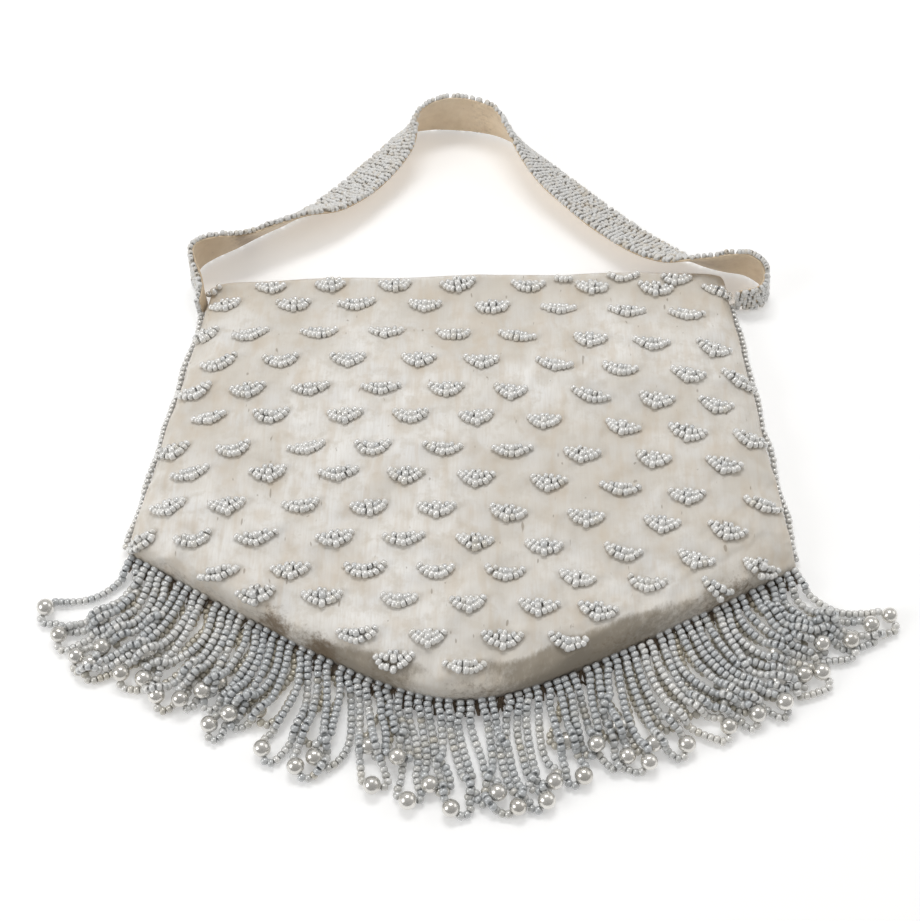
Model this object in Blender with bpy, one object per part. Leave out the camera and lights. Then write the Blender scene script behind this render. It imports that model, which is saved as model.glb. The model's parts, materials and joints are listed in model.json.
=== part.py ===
# Beaded flapper purse, lying on its back on a flat surface.
# Metres, +Z up, +X to the right, +Y from the fringe towards the strap.
# The origin is the middle of the footprint, on the surface that the purse lies on.

import math

import bmesh
import bpy
import numpy as np

# Satin pouch, seen from above
MOUTH_WIDTH = 0.158
MOUTH_SLANT = 0.007
CORNER_WIDTH = 0.186
SIDE_DROP = 0.0965
POINT_DROP = 0.041
POINT_EASE = 0.024

# Satin pouch, seen from the side
SATIN_WALL = 0.0015
PUFF_HEIGHT = 0.0100
PUFF_FALL = 0.18
MOUTH_LIFT = 0.0046
MOUTH_TILT = 0.16
MOUTH_SLOPE = 0.046
SIDE_ROLL = 0.017
POINT_ROLL = 0.013
PIECE_GAP = 0.0003

# Seed beads and pearls
SEED_BEAD = 0.0021
PEARL = 0.0048
EDGE_SLANT = 1.02

# Fringe of looped strands
LOOP_COUNT = 34
LOOP_REACH = 0.0295
LOOP_WIDTH = 0.0072
LOCK_HEIGHT = 0.0040
HEAD_DEPTH = 0.0030
HEAD_HEIGHT = 0.0036
HEAD_FALL = 0.8
FAN_LEFT = 73.0
FAN_RIGHT = 86.0
FAN_EASE = 2.0
PARTING_BREADTH = 0.07

# How a loop runs: its lean where it leaves the seam and where it ends, as shares of its own
# lean, and how far along it bends
LEAN_LEAVING = 0.35
LEAN_ENDING = 1.12
LOOP_BEND = 0.45

# How unevenly the loops hang: the most that a lean strays in degrees and a reach as a share,
# and how fast both change from one loop to the next
LEAN_STRAY = 3.0
LEAN_CHANGE = 2.4
LEAN_START = 0.7
REACH_STRAY = 0.05
REACH_CHANGE = 1.9
REACH_START = 1.0

# A loop's widths from the seam to its pearl, as shares of the loop's width, and the six
# corners of its section, as shares of its width and height
LOCK_WIDTHS = [0.62, 0.72, 0.86, 0.98, 1.0, 0.62]
LOCK_SECTION = [
    dict(out=-0.50, up=0.5),
    dict(out=-0.36, up=0.0),
    dict(out=0.36, up=0.0),
    dict(out=0.50, up=0.5),
    dict(out=0.30, up=1.0),
    dict(out=-0.30, up=1.0),
]

# Strap
STRAP_WIDTH = 0.0173
STRAP_THICKNESS = 0.0026
STRAP_RISE = 0.066
STRAP_SEAT = 0.0090

# How finely the soft pieces are divided
PANEL_COLUMNS = 34
PANEL_ROWS = 23
COLUMN_CROWDING = 0.45
ROW_CROWDING = 0.5
STRAP_STEPS = 3
CORD_STEP = 0.0048
PEARL_SEGMENTS = 8
PEARL_RINGS = 6

# Soft folds and dents of the front. Across runs from -1 at the left seam to 1 at the right,
# down from 0 at the mouth to 1 at the point. Run and breadth are shares of the pouch's
# corner width, and rise is a share of the puff's height
FRONT_FOLDS = [
    dict(across=-0.72, down=0.52, run=0.16, breadth=0.030, turn=-14, rise=-0.13),
    dict(across=-0.55, down=0.66, run=0.17, breadth=0.028, turn=-12, rise=-0.12),
    dict(across=-0.78, down=0.28, run=0.12, breadth=0.030, turn=-24, rise=-0.10),
    dict(across=-0.10, down=0.74, run=0.19, breadth=0.024, turn=-3, rise=-0.11),
    dict(across=0.22, down=0.60, run=0.16, breadth=0.030, turn=-10, rise=-0.07),
    dict(across=0.62, down=0.44, run=0.15, breadth=0.034, turn=10, rise=-0.08),
    dict(across=0.30, down=0.22, run=0.20, breadth=0.036, turn=-6, rise=-0.08),
    dict(across=-0.25, down=0.14, run=0.22, breadth=0.030, turn=4, rise=-0.09),
    dict(across=-0.30, down=0.88, run=0.08, breadth=0.026, turn=-24, rise=-0.16),
    dict(across=0.12, down=0.93, run=0.10, breadth=0.024, turn=4, rise=-0.14),
    dict(across=0.60, down=0.86, run=0.10, breadth=0.026, turn=26, rise=-0.12),
    dict(across=-0.62, down=0.86, run=0.08, breadth=0.022, turn=-34, rise=-0.12),
]

# Gathers where the front is drawn in along the point's seam: how many there are between the
# corners, how far up the front they reach and how deep they are, where in that reach they
# are deepest and how fast they fade, both as shares of it, and how the first one is placed
GATHER_COUNT = 11
GATHER_REACH = 0.016
GATHER_DEPTH = 0.0007
GATHER_MIDDLE = 0.6
GATHER_FADE = 0.5
GATHER_START = 0.6

# Where the loops part: at is the place along the seam, from -1 to 1, and spread is how many
# degrees the loops on each side turn away from it
FRINGE_PARTINGS = [
    dict(at=-0.94, spread=7),
    dict(at=-0.42, spread=6),
    dict(at=-0.30, spread=8),
    dict(at=-0.09, spread=4),
    dict(at=0.00, spread=4),
    dict(at=0.14, spread=5),
    dict(at=0.29, spread=7),
    dict(at=0.90, spread=6),
]

# The strap's lower edge as it lies, from the left corner round to the right one. Across is a
# share of half the mouth's width, away a share of the strap's rise beyond the mouth, lean is
# 90 degrees where the strap stands on its edge and less where it leans in, and width is a
# share of the strap's width
STRAP_ROUTE = [
    dict(across=-1.086, away=0.000, lean=86, width=1.00),
    dict(across=-1.078, away=0.085, lean=82, width=1.00),
    dict(across=-1.022, away=0.155, lean=75, width=1.00),
    dict(across=-0.930, away=0.232, lean=61, width=1.00),
    dict(across=-0.825, away=0.322, lean=56, width=1.00),
    dict(across=-0.722, away=0.408, lean=49, width=1.00),
    dict(across=-0.628, away=0.508, lean=33, width=1.00),
    dict(across=-0.530, away=0.640, lean=26, width=1.00),
    dict(across=-0.405, away=0.820, lean=32, width=1.00),
    dict(across=-0.300, away=0.958, lean=57, width=1.00),
    dict(across=-0.190, away=0.998, lean=80, width=1.00),
    dict(across=-0.069, away=1.000, lean=90, width=1.00),
    dict(across=0.068, away=0.978, lean=84, width=1.00),
    dict(across=0.145, away=0.946, lean=72, width=1.00),
    dict(across=0.225, away=0.878, lean=58, width=1.00),
    dict(across=0.352, away=0.742, lean=37, width=1.00),
    dict(across=0.479, away=0.600, lean=29, width=1.00),
    dict(across=0.623, away=0.443, lean=26, width=1.00),
    dict(across=0.738, away=0.325, lean=29, width=1.00),
    dict(across=0.850, away=0.232, lean=38, width=1.00),
    dict(across=0.935, away=0.172, lean=58, width=1.00),
    dict(across=1.012, away=0.142, lean=71, width=1.00),
    dict(across=1.095, away=0.118, lean=76, width=1.00),
    dict(across=1.162, away=0.050, lean=78, width=0.95),
    dict(across=1.166, away=-0.025, lean=82, width=0.80),
    dict(across=1.128, away=-0.075, lean=86, width=0.66),
]
STRAP_END_WIDTH = 0.55
UPRIGHT = 90


def clear_scene():
    for obj in list(bpy.data.objects):
        bpy.data.objects.remove(obj, do_unlink=True)


def make_material(name, colour, roughness, metallic=0.0):
    material = bpy.data.materials.new(name)
    material.use_nodes = True
    shader = material.node_tree.nodes["Principled BSDF"]
    shader.inputs["Base Color"].default_value = (*colour, 1.0)
    shader.inputs["Roughness"].default_value = roughness
    shader.inputs["Metallic"].default_value = metallic
    material.diffuse_color = (*colour, 1.0)
    return material


def add_object(name, data, material):
    obj = bpy.data.objects.new(name, data)
    bpy.context.collection.objects.link(obj)
    data.materials.append(material)
    return obj


def mesh_object(name, points, faces, material):
    mesh = bpy.data.meshes.new(name)
    mesh.from_pydata([tuple(point) for point in points], [], faces)
    work = bmesh.new()
    work.from_mesh(mesh)
    bmesh.ops.recalc_face_normals(work, faces=work.faces)
    work.to_mesh(mesh)
    work.free()
    mesh.shade_smooth()
    mesh.set_sharp_from_angle(angle=math.radians(40))
    return add_object(name, mesh, material)


# The pouch's outline

def mouth_point(across):
    return np.array([across * MOUTH_WIDTH / 2, across * MOUTH_SLANT / 2])


def seam_point(across):
    # The point's two slopes run straight from the corners and blend in a rounded tip.
    x = across * CORNER_WIDTH / 2
    reach = math.hypot(CORNER_WIDTH / 2, POINT_EASE) - POINT_EASE
    climb = (math.hypot(x, POINT_EASE) - POINT_EASE) / reach
    return np.array([x, -SIDE_DROP - POINT_DROP * (1 - climb)])


def seam_normal(across):
    step = 0.001
    along = seam_point(across + step) - seam_point(across - step)
    return np.array([along[1], -along[0]]) / math.hypot(*along)


def panel_columns():
    even = np.linspace(-1, 1, PANEL_COLUMNS + 1)
    return (1 - COLUMN_CROWDING) * even + COLUMN_CROWDING * np.sin(even * math.pi / 2)


def panel_rows():
    even = np.linspace(0, 1, PANEL_ROWS + 1)
    return (1 - ROW_CROWDING) * even + ROW_CROWDING * np.sin(even * math.pi / 2)


def panel_point(across, down):
    return (1 - down) * mouth_point(across) + down * seam_point(across)


def side_point(side, drop):
    # A point on a side seam, at a distance of drop below its upper corner.
    corner = seam_point(side)
    top = mouth_point(side)
    return top + (corner - top) * drop / (top[1] - corner[1])


# The front panel

def roll_over(distance, width):
    inside = min(max(distance / width, 0.0), 1.0)
    return math.sqrt(1 - (1 - inside) ** 2)


def smooth_step(share):
    held = min(max(share, 0.0), 1.0)
    return held * held * (3 - 2 * held)


def fold_height(across, down):
    x, y = panel_point(across, down)
    total = 0.0
    for fold in FRONT_FOLDS:
        middle = panel_point(fold["across"], fold["down"])
        turn = math.radians(fold["turn"])
        along = (x - middle[0]) * math.cos(turn) + (y - middle[1]) * math.sin(turn)
        beside = (y - middle[1]) * math.cos(turn) - (x - middle[0]) * math.sin(turn)
        along /= fold["run"] * CORNER_WIDTH
        beside /= fold["breadth"] * CORNER_WIDTH
        total += fold["rise"] * math.exp(-along * along - beside * beside)
    return PUFF_HEIGHT * total


def front_height(across, down):
    # Height of the front's outer face over its own seam.
    x, y = panel_point(across, down)
    side = math.copysign(1, across)
    from_mouth = mouth_point(across)[1] - y
    from_side = abs(side_point(side, min(from_mouth, SIDE_DROP))[0]) - abs(x)
    from_point = (1 - down) * (SIDE_DROP + POINT_DROP * (1 - across * across))
    rolled = roll_over(from_side, SIDE_ROLL) * roll_over(from_point, POINT_ROLL)
    lift = MOUTH_LIFT * (1 + MOUTH_TILT * across)
    rise = lift + (PUFF_HEIGHT - lift) * smooth_step(from_mouth / MOUTH_SLOPE)
    dome = 1 - PUFF_FALL * across * across
    near = math.exp(-((from_point / GATHER_REACH - GATHER_MIDDLE) / GATHER_FADE) ** 2)
    gathers = GATHER_DEPTH * near * math.sin(math.pi * GATHER_COUNT * across + GATHER_START)
    held = smooth_step(min(from_side, from_point) / POINT_ROLL)
    return rise * rolled * dome + held * (fold_height(across, down) + gathers)


def front_grids():
    columns = panel_columns()
    rows = panel_rows()
    outer = np.zeros((len(rows), len(columns), 3))
    for r, down in enumerate(rows):
        for c, across in enumerate(columns):
            outer[r, c, :2] = panel_point(across, down)
            outer[r, c, 2] = 2 * SATIN_WALL + PIECE_GAP + front_height(across, down)
    along = np.gradient(outer, axis=1)
    down_way = np.gradient(outer, axis=0)
    normals = np.cross(down_way, along)
    normals /= np.linalg.norm(normals, axis=2)[:, :, None]
    # The rims drop straight down, so that they lie flush with the back's edge.
    for rim in (np.s_[:, 0], np.s_[:, -1], np.s_[-1, :]):
        normals[rim] = (0.0, 0.0, 1.0)
    normals[0, :, 1] = 0.0
    normals[0] /= np.linalg.norm(normals[0], axis=1)[:, None]
    inner = outer - SATIN_WALL * normals
    return outer, inner


def sheet_solid(outer, inner):
    # Joins two grids of points, one over the other, into one closed wall.
    rows, columns, _ = outer.shape
    points = np.concatenate([outer.reshape(-1, 3), inner.reshape(-1, 3)])
    under = rows * columns
    faces = []
    for r in range(rows - 1):
        for c in range(columns - 1):
            a = r * columns + c
            b = a + columns
            faces.append((a, b, b + 1, a + 1))
            faces.append((under + a, under + a + 1, under + b + 1, under + b))
    rim = [c for c in range(columns)]
    rim += [r * columns + columns - 1 for r in range(1, rows)]
    rim += [(rows - 1) * columns + c for c in range(columns - 2, -1, -1)]
    rim += [r * columns for r in range(rows - 2, 0, -1)]
    for i, a in enumerate(rim):
        b = rim[(i + 1) % len(rim)]
        faces.append((a, b, under + b, under + a))
    return points, faces


def make_front_panel(material):
    points, faces = sheet_solid(*front_grids())
    return mesh_object("front_panel", points, faces, material)


# The back panel

def make_back_panel(material):
    outline = [mouth_point(-1)]
    outline += [seam_point(across) for across in panel_columns()]
    outline += [mouth_point(1)]
    count = len(outline)
    points = [(x, y, 0.0) for x, y in outline]
    points += [(x, y, SATIN_WALL) for x, y in outline]
    faces = [tuple(range(count)), tuple(range(count, 2 * count))]
    for i in range(count):
        j = (i + 1) % count
        faces.append((i, j, count + j, count + i))
    return mesh_object("back_panel", points, faces, material)


# The strings of seed beads along the side seams

def make_edge_beads(side, name, material):
    first = STRAP_SEAT + SEED_BEAD
    last = mouth_point(side)[1] + SIDE_DROP - SEED_BEAD
    steps = round((last - first) / CORD_STEP)
    clear = EDGE_SLANT * (PIECE_GAP + SEED_BEAD / 2)
    curve = bpy.data.curves.new(name, "CURVE")
    curve.dimensions = "3D"
    curve.bevel_depth = SEED_BEAD / 2
    curve.bevel_resolution = 2
    curve.use_fill_caps = True
    spline = curve.splines.new("POLY")
    spline.points.add(steps)
    for i, point in enumerate(spline.points):
        x, y = side_point(side, first + (last - first) * i / steps)
        point.co = (x + side * clear, y, SATIN_WALL + PIECE_GAP / 2, 1.0)
    return add_object(name, curve, material)


# The fringe

def seam_places(count, start, end):
    # Evenly spaced places along the seam's true length.
    fine = np.linspace(-1, 1, 401)
    points = np.array([seam_point(across) for across in fine])
    steps = np.hypot(*np.diff(points, axis=0).T)
    length = np.concatenate([[0], np.cumsum(steps)])
    return np.interp(np.linspace(start, end, count) * length[-1], length, fine)


def loop_lean(across, number):
    widest = FAN_LEFT if across < 0 else FAN_RIGHT
    fan = math.copysign(widest * abs(across) ** FAN_EASE, across)
    for parting in FRINGE_PARTINGS:
        apart = across - parting["at"]
        near = math.exp(-(apart / PARTING_BREADTH) ** 2)
        fan += parting["spread"] * math.copysign(near, apart)
    return fan + LEAN_STRAY * math.sin(LEAN_CHANGE * number + LEAN_START)


def loop_reach(number):
    return LOOP_REACH * (1 + REACH_STRAY * math.sin(REACH_CHANGE * number + REACH_START))


def loop_path(across, number):
    # Leaves the seam square to it and then bends towards its own lean.
    lean = math.radians(loop_lean(across, number))
    reach = loop_reach(number)
    start = seam_point(across) + (PIECE_GAP + HEAD_DEPTH / 2) * seam_normal(across)
    leaving = lean * LEAN_LEAVING
    ending = lean * LEAN_ENDING
    bend = start + LOOP_BEND * reach * np.array([math.sin(leaving), -math.cos(leaving)])
    way = np.array([math.sin(ending), -math.cos(ending)])
    end = bend + ((1 - LOOP_BEND) * reach - PEARL / 2) * way
    shares = np.linspace(0, 1, len(LOCK_WIDTHS))[:, None]
    return (1 - shares) ** 2 * start + 2 * shares * (1 - shares) * bend + shares ** 2 * end


def lock_solid(across, number, material):
    # One loop of two strands: a flat strip that widens from the seam to its pearl.
    path = loop_path(across, number)
    along = np.gradient(path, axis=0)
    along /= np.hypot(along[:, 0], along[:, 1])[:, None]
    beside = np.stack([-along[:, 1], along[:, 0]], axis=1)
    points = []
    for place, side, width in zip(path, beside, LOCK_WIDTHS):
        for corner in LOCK_SECTION:
            x, y = place + side * corner["out"] * width * LOOP_WIDTH
            points.append((x, y, corner["up"] * LOCK_HEIGHT))
    size = len(LOCK_SECTION)
    faces = [tuple(range(size)), tuple(range(len(points) - size, len(points)))]
    for ring in range(len(path) - 1):
        for i in range(size):
            j = (i + 1) % size
            a = ring * size
            faces.append((a + i, a + j, a + size + j, a + size + i))
    return mesh_object("lock", points, faces, material)


def pearl_solid(across, number, material):
    x, y = loop_path(across, number)[-1]
    mesh = bpy.data.meshes.new("pearl")
    work = bmesh.new()
    bmesh.ops.create_uvsphere(work, u_segments=PEARL_SEGMENTS, v_segments=PEARL_RINGS,
                              radius=PEARL / 2)
    bmesh.ops.translate(work, vec=(x, y, PEARL / 2), verts=work.verts)
    work.to_mesh(mesh)
    work.free()
    return add_object("pearl", mesh, material)


def make_fringe_head(material):
    near = PIECE_GAP
    far = PIECE_GAP + HEAD_DEPTH
    profile = [(near, 0.0), (far, 0.0), (far, HEAD_HEIGHT * HEAD_FALL), (near, HEAD_HEIGHT)]
    points = []
    columns = panel_columns()
    for across in columns:
        for out, up in profile:
            x, y = seam_point(across) + out * seam_normal(across)
            points.append((x, y, up))
    size = len(profile)
    faces = [tuple(range(size)), tuple(range(len(points) - size, len(points)))]
    for ring in range(len(columns) - 1):
        for i in range(size):
            j = (i + 1) % size
            a = ring * size
            faces.append((a + i, a + j, a + size + j, a + size + i))
    return mesh_object("fringe", points, faces, material)


def unite(target, others):
    pieces = bpy.data.collections.new("loops")
    for other in others:
        pieces.objects.link(other)
    union = target.modifiers.new("union", "BOOLEAN")
    union.operation = "UNION"
    union.operand_type = "COLLECTION"
    union.collection = pieces
    union.solver = "EXACT"
    union.use_self = True
    graph = bpy.context.evaluated_depsgraph_get()
    mesh = bpy.data.meshes.new_from_object(target.evaluated_get(graph))
    target.modifiers.clear()
    target.data = mesh
    for other in others:
        bpy.data.objects.remove(other, do_unlink=True)
    bpy.data.collections.remove(pieces)


def make_fringe(material):
    head = make_fringe_head(material)
    margin = 0.5 / LOOP_COUNT
    loops = []
    for number, across in enumerate(seam_places(LOOP_COUNT, margin, 1 - margin)):
        loops.append(lock_solid(across, number, material))
        loops.append(pearl_solid(across, number, material))
    unite(head, loops)
    return head


# The strap

def strap_seat(side, drop):
    # A row of the route where the strap's end is sewn along the side seam.
    x, y = side_point(side, drop)
    return [x + side * (2 * PIECE_GAP + STRAP_THICKNESS / 2), y]


def strap_rows():
    rows = []
    for share in (1.0, 0.5):
        width = STRAP_END_WIDTH + (1 - STRAP_END_WIDTH) * (1 - share)
        rows.append(strap_seat(-1, STRAP_SEAT * share) + [UPRIGHT, width])
    for row in STRAP_ROUTE:
        x = row["across"] * MOUTH_WIDTH / 2
        rows.append([x, row["away"] * STRAP_RISE, row["lean"], row["width"]])
    rows.append(strap_seat(1, STRAP_SEAT) + [UPRIGHT, STRAP_END_WIDTH])
    return np.array(rows)


def smooth_rows(rows, steps):
    # A smooth curve through every row, in all its columns at once.
    padded = np.concatenate([[2 * rows[0] - rows[1]], rows, [2 * rows[-1] - rows[-2]]])
    result = []
    for i in range(1, len(padded) - 2):
        before, start, end, after = padded[i - 1:i + 3]
        for step in range(steps):
            t = step / steps
            leave = (end - before) / 2
            arrive = (after - start) / 2
            result.append((2 * t ** 3 - 3 * t ** 2 + 1) * start + (t ** 3 - 2 * t ** 2 + t) * leave
                          + (3 * t ** 2 - 2 * t ** 3) * end + (t ** 3 - t ** 2) * arrive)
    result.append(padded[-2])
    return np.array(result)


def make_strap(material):
    rows = smooth_rows(strap_rows(), STRAP_STEPS)
    along = np.gradient(rows[:, :2], axis=0)
    along /= np.hypot(along[:, 0], along[:, 1])[:, None]
    points = []
    for (x, y, lean, width), (ahead_x, ahead_y) in zip(rows, along):
        angle = math.radians(min(lean, UPRIGHT))
        inward = np.array([ahead_y, -ahead_x, 0.0])
        upward = np.array([0.0, 0.0, 1.0])
        across = math.cos(angle) * inward + math.sin(angle) * upward
        out = math.cos(angle) * upward - math.sin(angle) * inward
        low = np.array([x, y, STRAP_THICKNESS / 2 * math.cos(angle)])
        high = low + STRAP_WIDTH * width * across
        half = STRAP_THICKNESS / 2 * out
        points += [low - half, low + half, high + half, high - half]
    faces = [(0, 1, 2, 3), tuple(range(len(points) - 4, len(points)))]
    for ring in range(len(rows) - 1):
        for i in range(4):
            j = (i + 1) % 4
            a = ring * 4
            faces.append((a + i, a + j, a + 4 + j, a + 4 + i))
    return mesh_object("strap", points, faces, material)


def centre_on_floor(objects):
    # Hangs every piece from one empty, so that the footprint's middle is the origin.
    corners = []
    for obj in objects:
        corners += [obj.matrix_world @ vertex.co for vertex in obj.data.vertices]
    corners = np.array(corners)
    middle = (corners.min(axis=0) + corners.max(axis=0)) / 2
    holder = bpy.data.objects.new("purse", None)
    bpy.context.collection.objects.link(holder)
    holder.location = (-middle[0], -middle[1], 0.0)
    return holder


def build():
    clear_scene()
    satin = make_material("satin", (0.62, 0.56, 0.47), 0.45)
    beads = make_material("seed_beads", (0.60, 0.61, 0.62), 0.25)
    front = make_front_panel(satin)
    back = make_back_panel(satin)
    left_edge = make_edge_beads(-1, "edge_beads_left", beads)
    right_edge = make_edge_beads(1, "edge_beads_right", beads)
    fringe = make_fringe(beads)
    strap = make_strap(beads)
    holder = centre_on_floor([front, back, fringe, strap])
    for obj in (front, back, left_edge, right_edge, fringe, strap):
        obj.parent = holder


build()
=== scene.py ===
import json
import math

import bpy
import numpy as np
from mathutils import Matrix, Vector
from mathutils.bvhtree import BVHTree
from mathutils.kdtree import KDTree

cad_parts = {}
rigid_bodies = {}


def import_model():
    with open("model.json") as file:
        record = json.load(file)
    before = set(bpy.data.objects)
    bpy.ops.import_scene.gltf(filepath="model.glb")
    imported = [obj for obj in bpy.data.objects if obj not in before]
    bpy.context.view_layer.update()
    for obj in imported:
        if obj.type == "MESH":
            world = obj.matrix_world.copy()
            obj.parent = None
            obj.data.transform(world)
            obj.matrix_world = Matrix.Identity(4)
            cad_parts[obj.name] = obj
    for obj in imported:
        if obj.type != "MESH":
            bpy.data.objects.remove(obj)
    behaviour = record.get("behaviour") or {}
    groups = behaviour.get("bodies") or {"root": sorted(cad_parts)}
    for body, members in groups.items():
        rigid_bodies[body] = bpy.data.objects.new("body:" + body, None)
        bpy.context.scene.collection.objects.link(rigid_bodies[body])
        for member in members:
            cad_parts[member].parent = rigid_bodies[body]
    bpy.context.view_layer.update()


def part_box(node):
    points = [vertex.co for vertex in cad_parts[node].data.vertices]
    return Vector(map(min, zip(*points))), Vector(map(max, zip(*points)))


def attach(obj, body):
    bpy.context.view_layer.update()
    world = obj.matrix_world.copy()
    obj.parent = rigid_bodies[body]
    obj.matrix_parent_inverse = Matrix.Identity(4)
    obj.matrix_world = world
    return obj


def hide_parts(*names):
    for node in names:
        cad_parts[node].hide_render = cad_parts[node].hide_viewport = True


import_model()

millimetre = 0.001

# the purse lies on its back, mouth towards +Y; sizes here are millimetres from the middle of the mouth
pouch = {
    "mouthWidth": 158.0,
    "mouthSlant": 7.0,
    "cornerWidth": 186.0,
    "sideDrop": 96.5,
    "pointDrop": 41.0,
    "pointEase": 24.0,
    "seamHeight": 3.3,
    "puff": 10.0,
    "puffFall": 0.18,
    "mouthLift": 4.6,
    "mouthTilt": 0.16,
    "mouthSlope": 46.0,
    "sideRoll": 17.0,
    "pointRoll": 13.0,
    "rollPower": 2.6,         # over 2, so fuller than a quarter circle: flat on top, steep at the seam
    "beadWidth": 2.1,
    "beadPitch": 1.5,
    "pearlWidth": 4.8,
}
backLow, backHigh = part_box("back_panel")
mouthMiddle = np.array([
    (backLow.x + backHigh.x) / 2 / millimetre,
    backHigh.y / millimetre - pouch["mouthSlant"] / 2,
    0.0,
])


def table(columns, *rows):
    # a dictionary for each row, with the names of its columns
    return [dict(zip(columns.split(), row)) for row in rows]


def takeUp(item):
    for other in bpy.context.view_layer.objects:
        other.select_set(other == item)
    bpy.context.view_layer.objects.active = item


def addPrimitive(kind, location=(0, 0, 0), **settings):
    getattr(bpy.ops.mesh, "primitive_" + kind + "_add")(location=location, **settings)
    takeUp(bpy.context.object)
    return bpy.context.object


def inEditMode(item, *steps):
    takeUp(item)
    bpy.ops.object.mode_set(mode="EDIT")
    bpy.ops.mesh.select_all(action="SELECT")
    for step in steps:
        step()
    bpy.ops.object.mode_set(mode="OBJECT")


def toFrame(points):
    # pouch millimetres to the frame's metres
    return (np.asarray(points, float) + mouthMiddle) * millimetre


def readPoints(item):
    points = np.zeros(len(item.data.vertices) * 3)
    item.data.vertices.foreach_get("co", points)
    return points.reshape(-1, 3)


def writePoints(item, points):
    item.data.vertices.foreach_set("co", np.ascontiguousarray(points, float).ravel())
    item.data.update()


def writeAttribute(item, name, values):
    layer = item.data.attributes.new(name, "FLOAT", "POINT")
    layer.data.foreach_set("value", np.ascontiguousarray(values, float).astype(np.float32))


def takeShape(item):
    # the points and faces of a modelled shape, whose object is then removed
    points = readPoints(item)
    faces = np.array([tuple(face.vertices) for face in item.data.polygons])
    bpy.data.objects.remove(item, do_unlink=True)
    return points, faces


def takeAttribute(item, name):
    layer = item.data.attributes[name]
    values = np.zeros(len(item.data.vertices))
    layer.data.foreach_get("value", values)
    item.data.attributes.remove(layer)
    return values


def applyModifiers(item):
    takeUp(item)
    for modifier in list(item.modifiers):
        bpy.ops.object.modifier_apply(modifier=modifier.name)


def thicken(sheet, thickness, offset=-1.0, edge=0.0):
    solid = sheet.modifiers.new("thickness", "SOLIDIFY")
    solid.thickness = thickness * millimetre
    solid.offset = offset
    if edge:
        soft = sheet.modifiers.new("softEdge", "BEVEL")
        soft.width = edge * millimetre
        soft.segments = 2
        soft.angle_limit = math.radians(50)
    applyModifiers(sheet)


def finishPiece(item, material, slotName, *nodes):
    item.data.materials.append(material)
    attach(item, "root")
    if nodes:
        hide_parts(*nodes)
    return item


# outline of the pouch, all in arrays

def smoothStep(share):
    held = np.clip(share, 0.0, 1.0)
    return held * held * (3 - 2 * held)


def hump(value, middle, reach):
    # 1 at the middle, falling off to both sides over reach
    return np.exp(-((value - middle) / reach) ** 2)


def mouthPoint(across):
    across = np.asarray(across, float)
    return np.stack([across * pouch["mouthWidth"] / 2, across * pouch["mouthSlant"] / 2], -1)


def seamPoint(across):
    across = np.asarray(across, float)
    x = across * pouch["cornerWidth"] / 2
    ease = pouch["pointEase"]
    reach = math.hypot(pouch["cornerWidth"] / 2, ease) - ease
    climb = (np.hypot(x, ease) - ease) / reach
    return np.stack([x, -pouch["sideDrop"] - pouch["pointDrop"] * (1 - climb)], -1)


def seamFrame(across):
    # the way along the seam and the way out of the pouch
    along = seamPoint(across + 0.001) - seamPoint(across - 0.001)
    along /= np.linalg.norm(along)
    return along, np.array([along[1], -along[0]])


def distances(path):
    # how far along a path each of its points is
    return np.concatenate([[0], np.cumsum(np.linalg.norm(np.diff(path, axis=0), axis=1))])


def seamPlaces(shares):
    # the places across the pouch for shares of the seam's length
    fine = np.linspace(-1, 1, 801)
    length = distances(seamPoint(fine))
    return np.interp(np.asarray(shares) * length[-1], length, fine)


def panelPoint(across, down):
    down = np.asarray(down, float)[..., None]
    return (1 - down) * mouthPoint(across) + down * seamPoint(across)


def sidePoint(side, drop):
    corner, top = seamPoint(side), mouthPoint(side)
    share = np.asarray(drop, float)[..., None] / (top[1] - corner[1])
    return top + (corner - top) * share


softFolds = table(
    "across down run breadth turn rise",
    (-0.72, 0.52, 0.16, 0.030, -14, -0.13), (-0.55, 0.66, 0.17, 0.028, -12, -0.12),
    (-0.78, 0.28, 0.12, 0.030, -24, -0.10), (-0.10, 0.74, 0.19, 0.024, -3, -0.11),
    (0.22, 0.60, 0.16, 0.030, -10, -0.07), (0.62, 0.44, 0.15, 0.034, 10, -0.08),
    (0.30, 0.22, 0.20, 0.036, -6, -0.08), (-0.25, 0.14, 0.22, 0.030, 4, -0.09),
    (-0.30, 0.88, 0.08, 0.026, -24, -0.16), (0.12, 0.93, 0.10, 0.024, 4, -0.14),
    (0.60, 0.86, 0.10, 0.026, 26, -0.12), (-0.62, 0.86, 0.08, 0.022, -34, -0.12))


def foldHeight(place):
    total = np.zeros(len(place))
    for fold in softFolds:
        turn = math.radians(fold["turn"])
        x, y = (place - panelPoint(fold["across"], fold["down"])).T
        along = (x * math.cos(turn) + y * math.sin(turn)) / (fold["run"] * pouch["cornerWidth"])
        beside = (y * math.cos(turn) - x * math.sin(turn)) / (fold["breadth"] * pouch["cornerWidth"])
        total += fold["rise"] * np.exp(-along ** 2 - beside ** 2)
    return pouch["puff"] * total


def rollOver(distance, width):
    inside = np.clip(distance / width, 0.0, 1.0)
    return (1 - (1 - inside) ** pouch["rollPower"]) ** (1 / pouch["rollPower"])


def edgeDistances(across, down):
    place = panelPoint(across, down)
    fromMouth = mouthPoint(across)[:, 1] - place[:, 1]
    drop = np.minimum(fromMouth, pouch["sideDrop"])
    edge = np.where(across < 0, -sidePoint(-1.0, drop)[:, 0], sidePoint(1.0, drop)[:, 0])
    fromSide = edge - np.abs(place[:, 0])
    fromPoint = (1 - down) * (pouch["sideDrop"] + pouch["pointDrop"] * (1 - across ** 2))
    return place, fromMouth, fromSide, fromPoint


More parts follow.
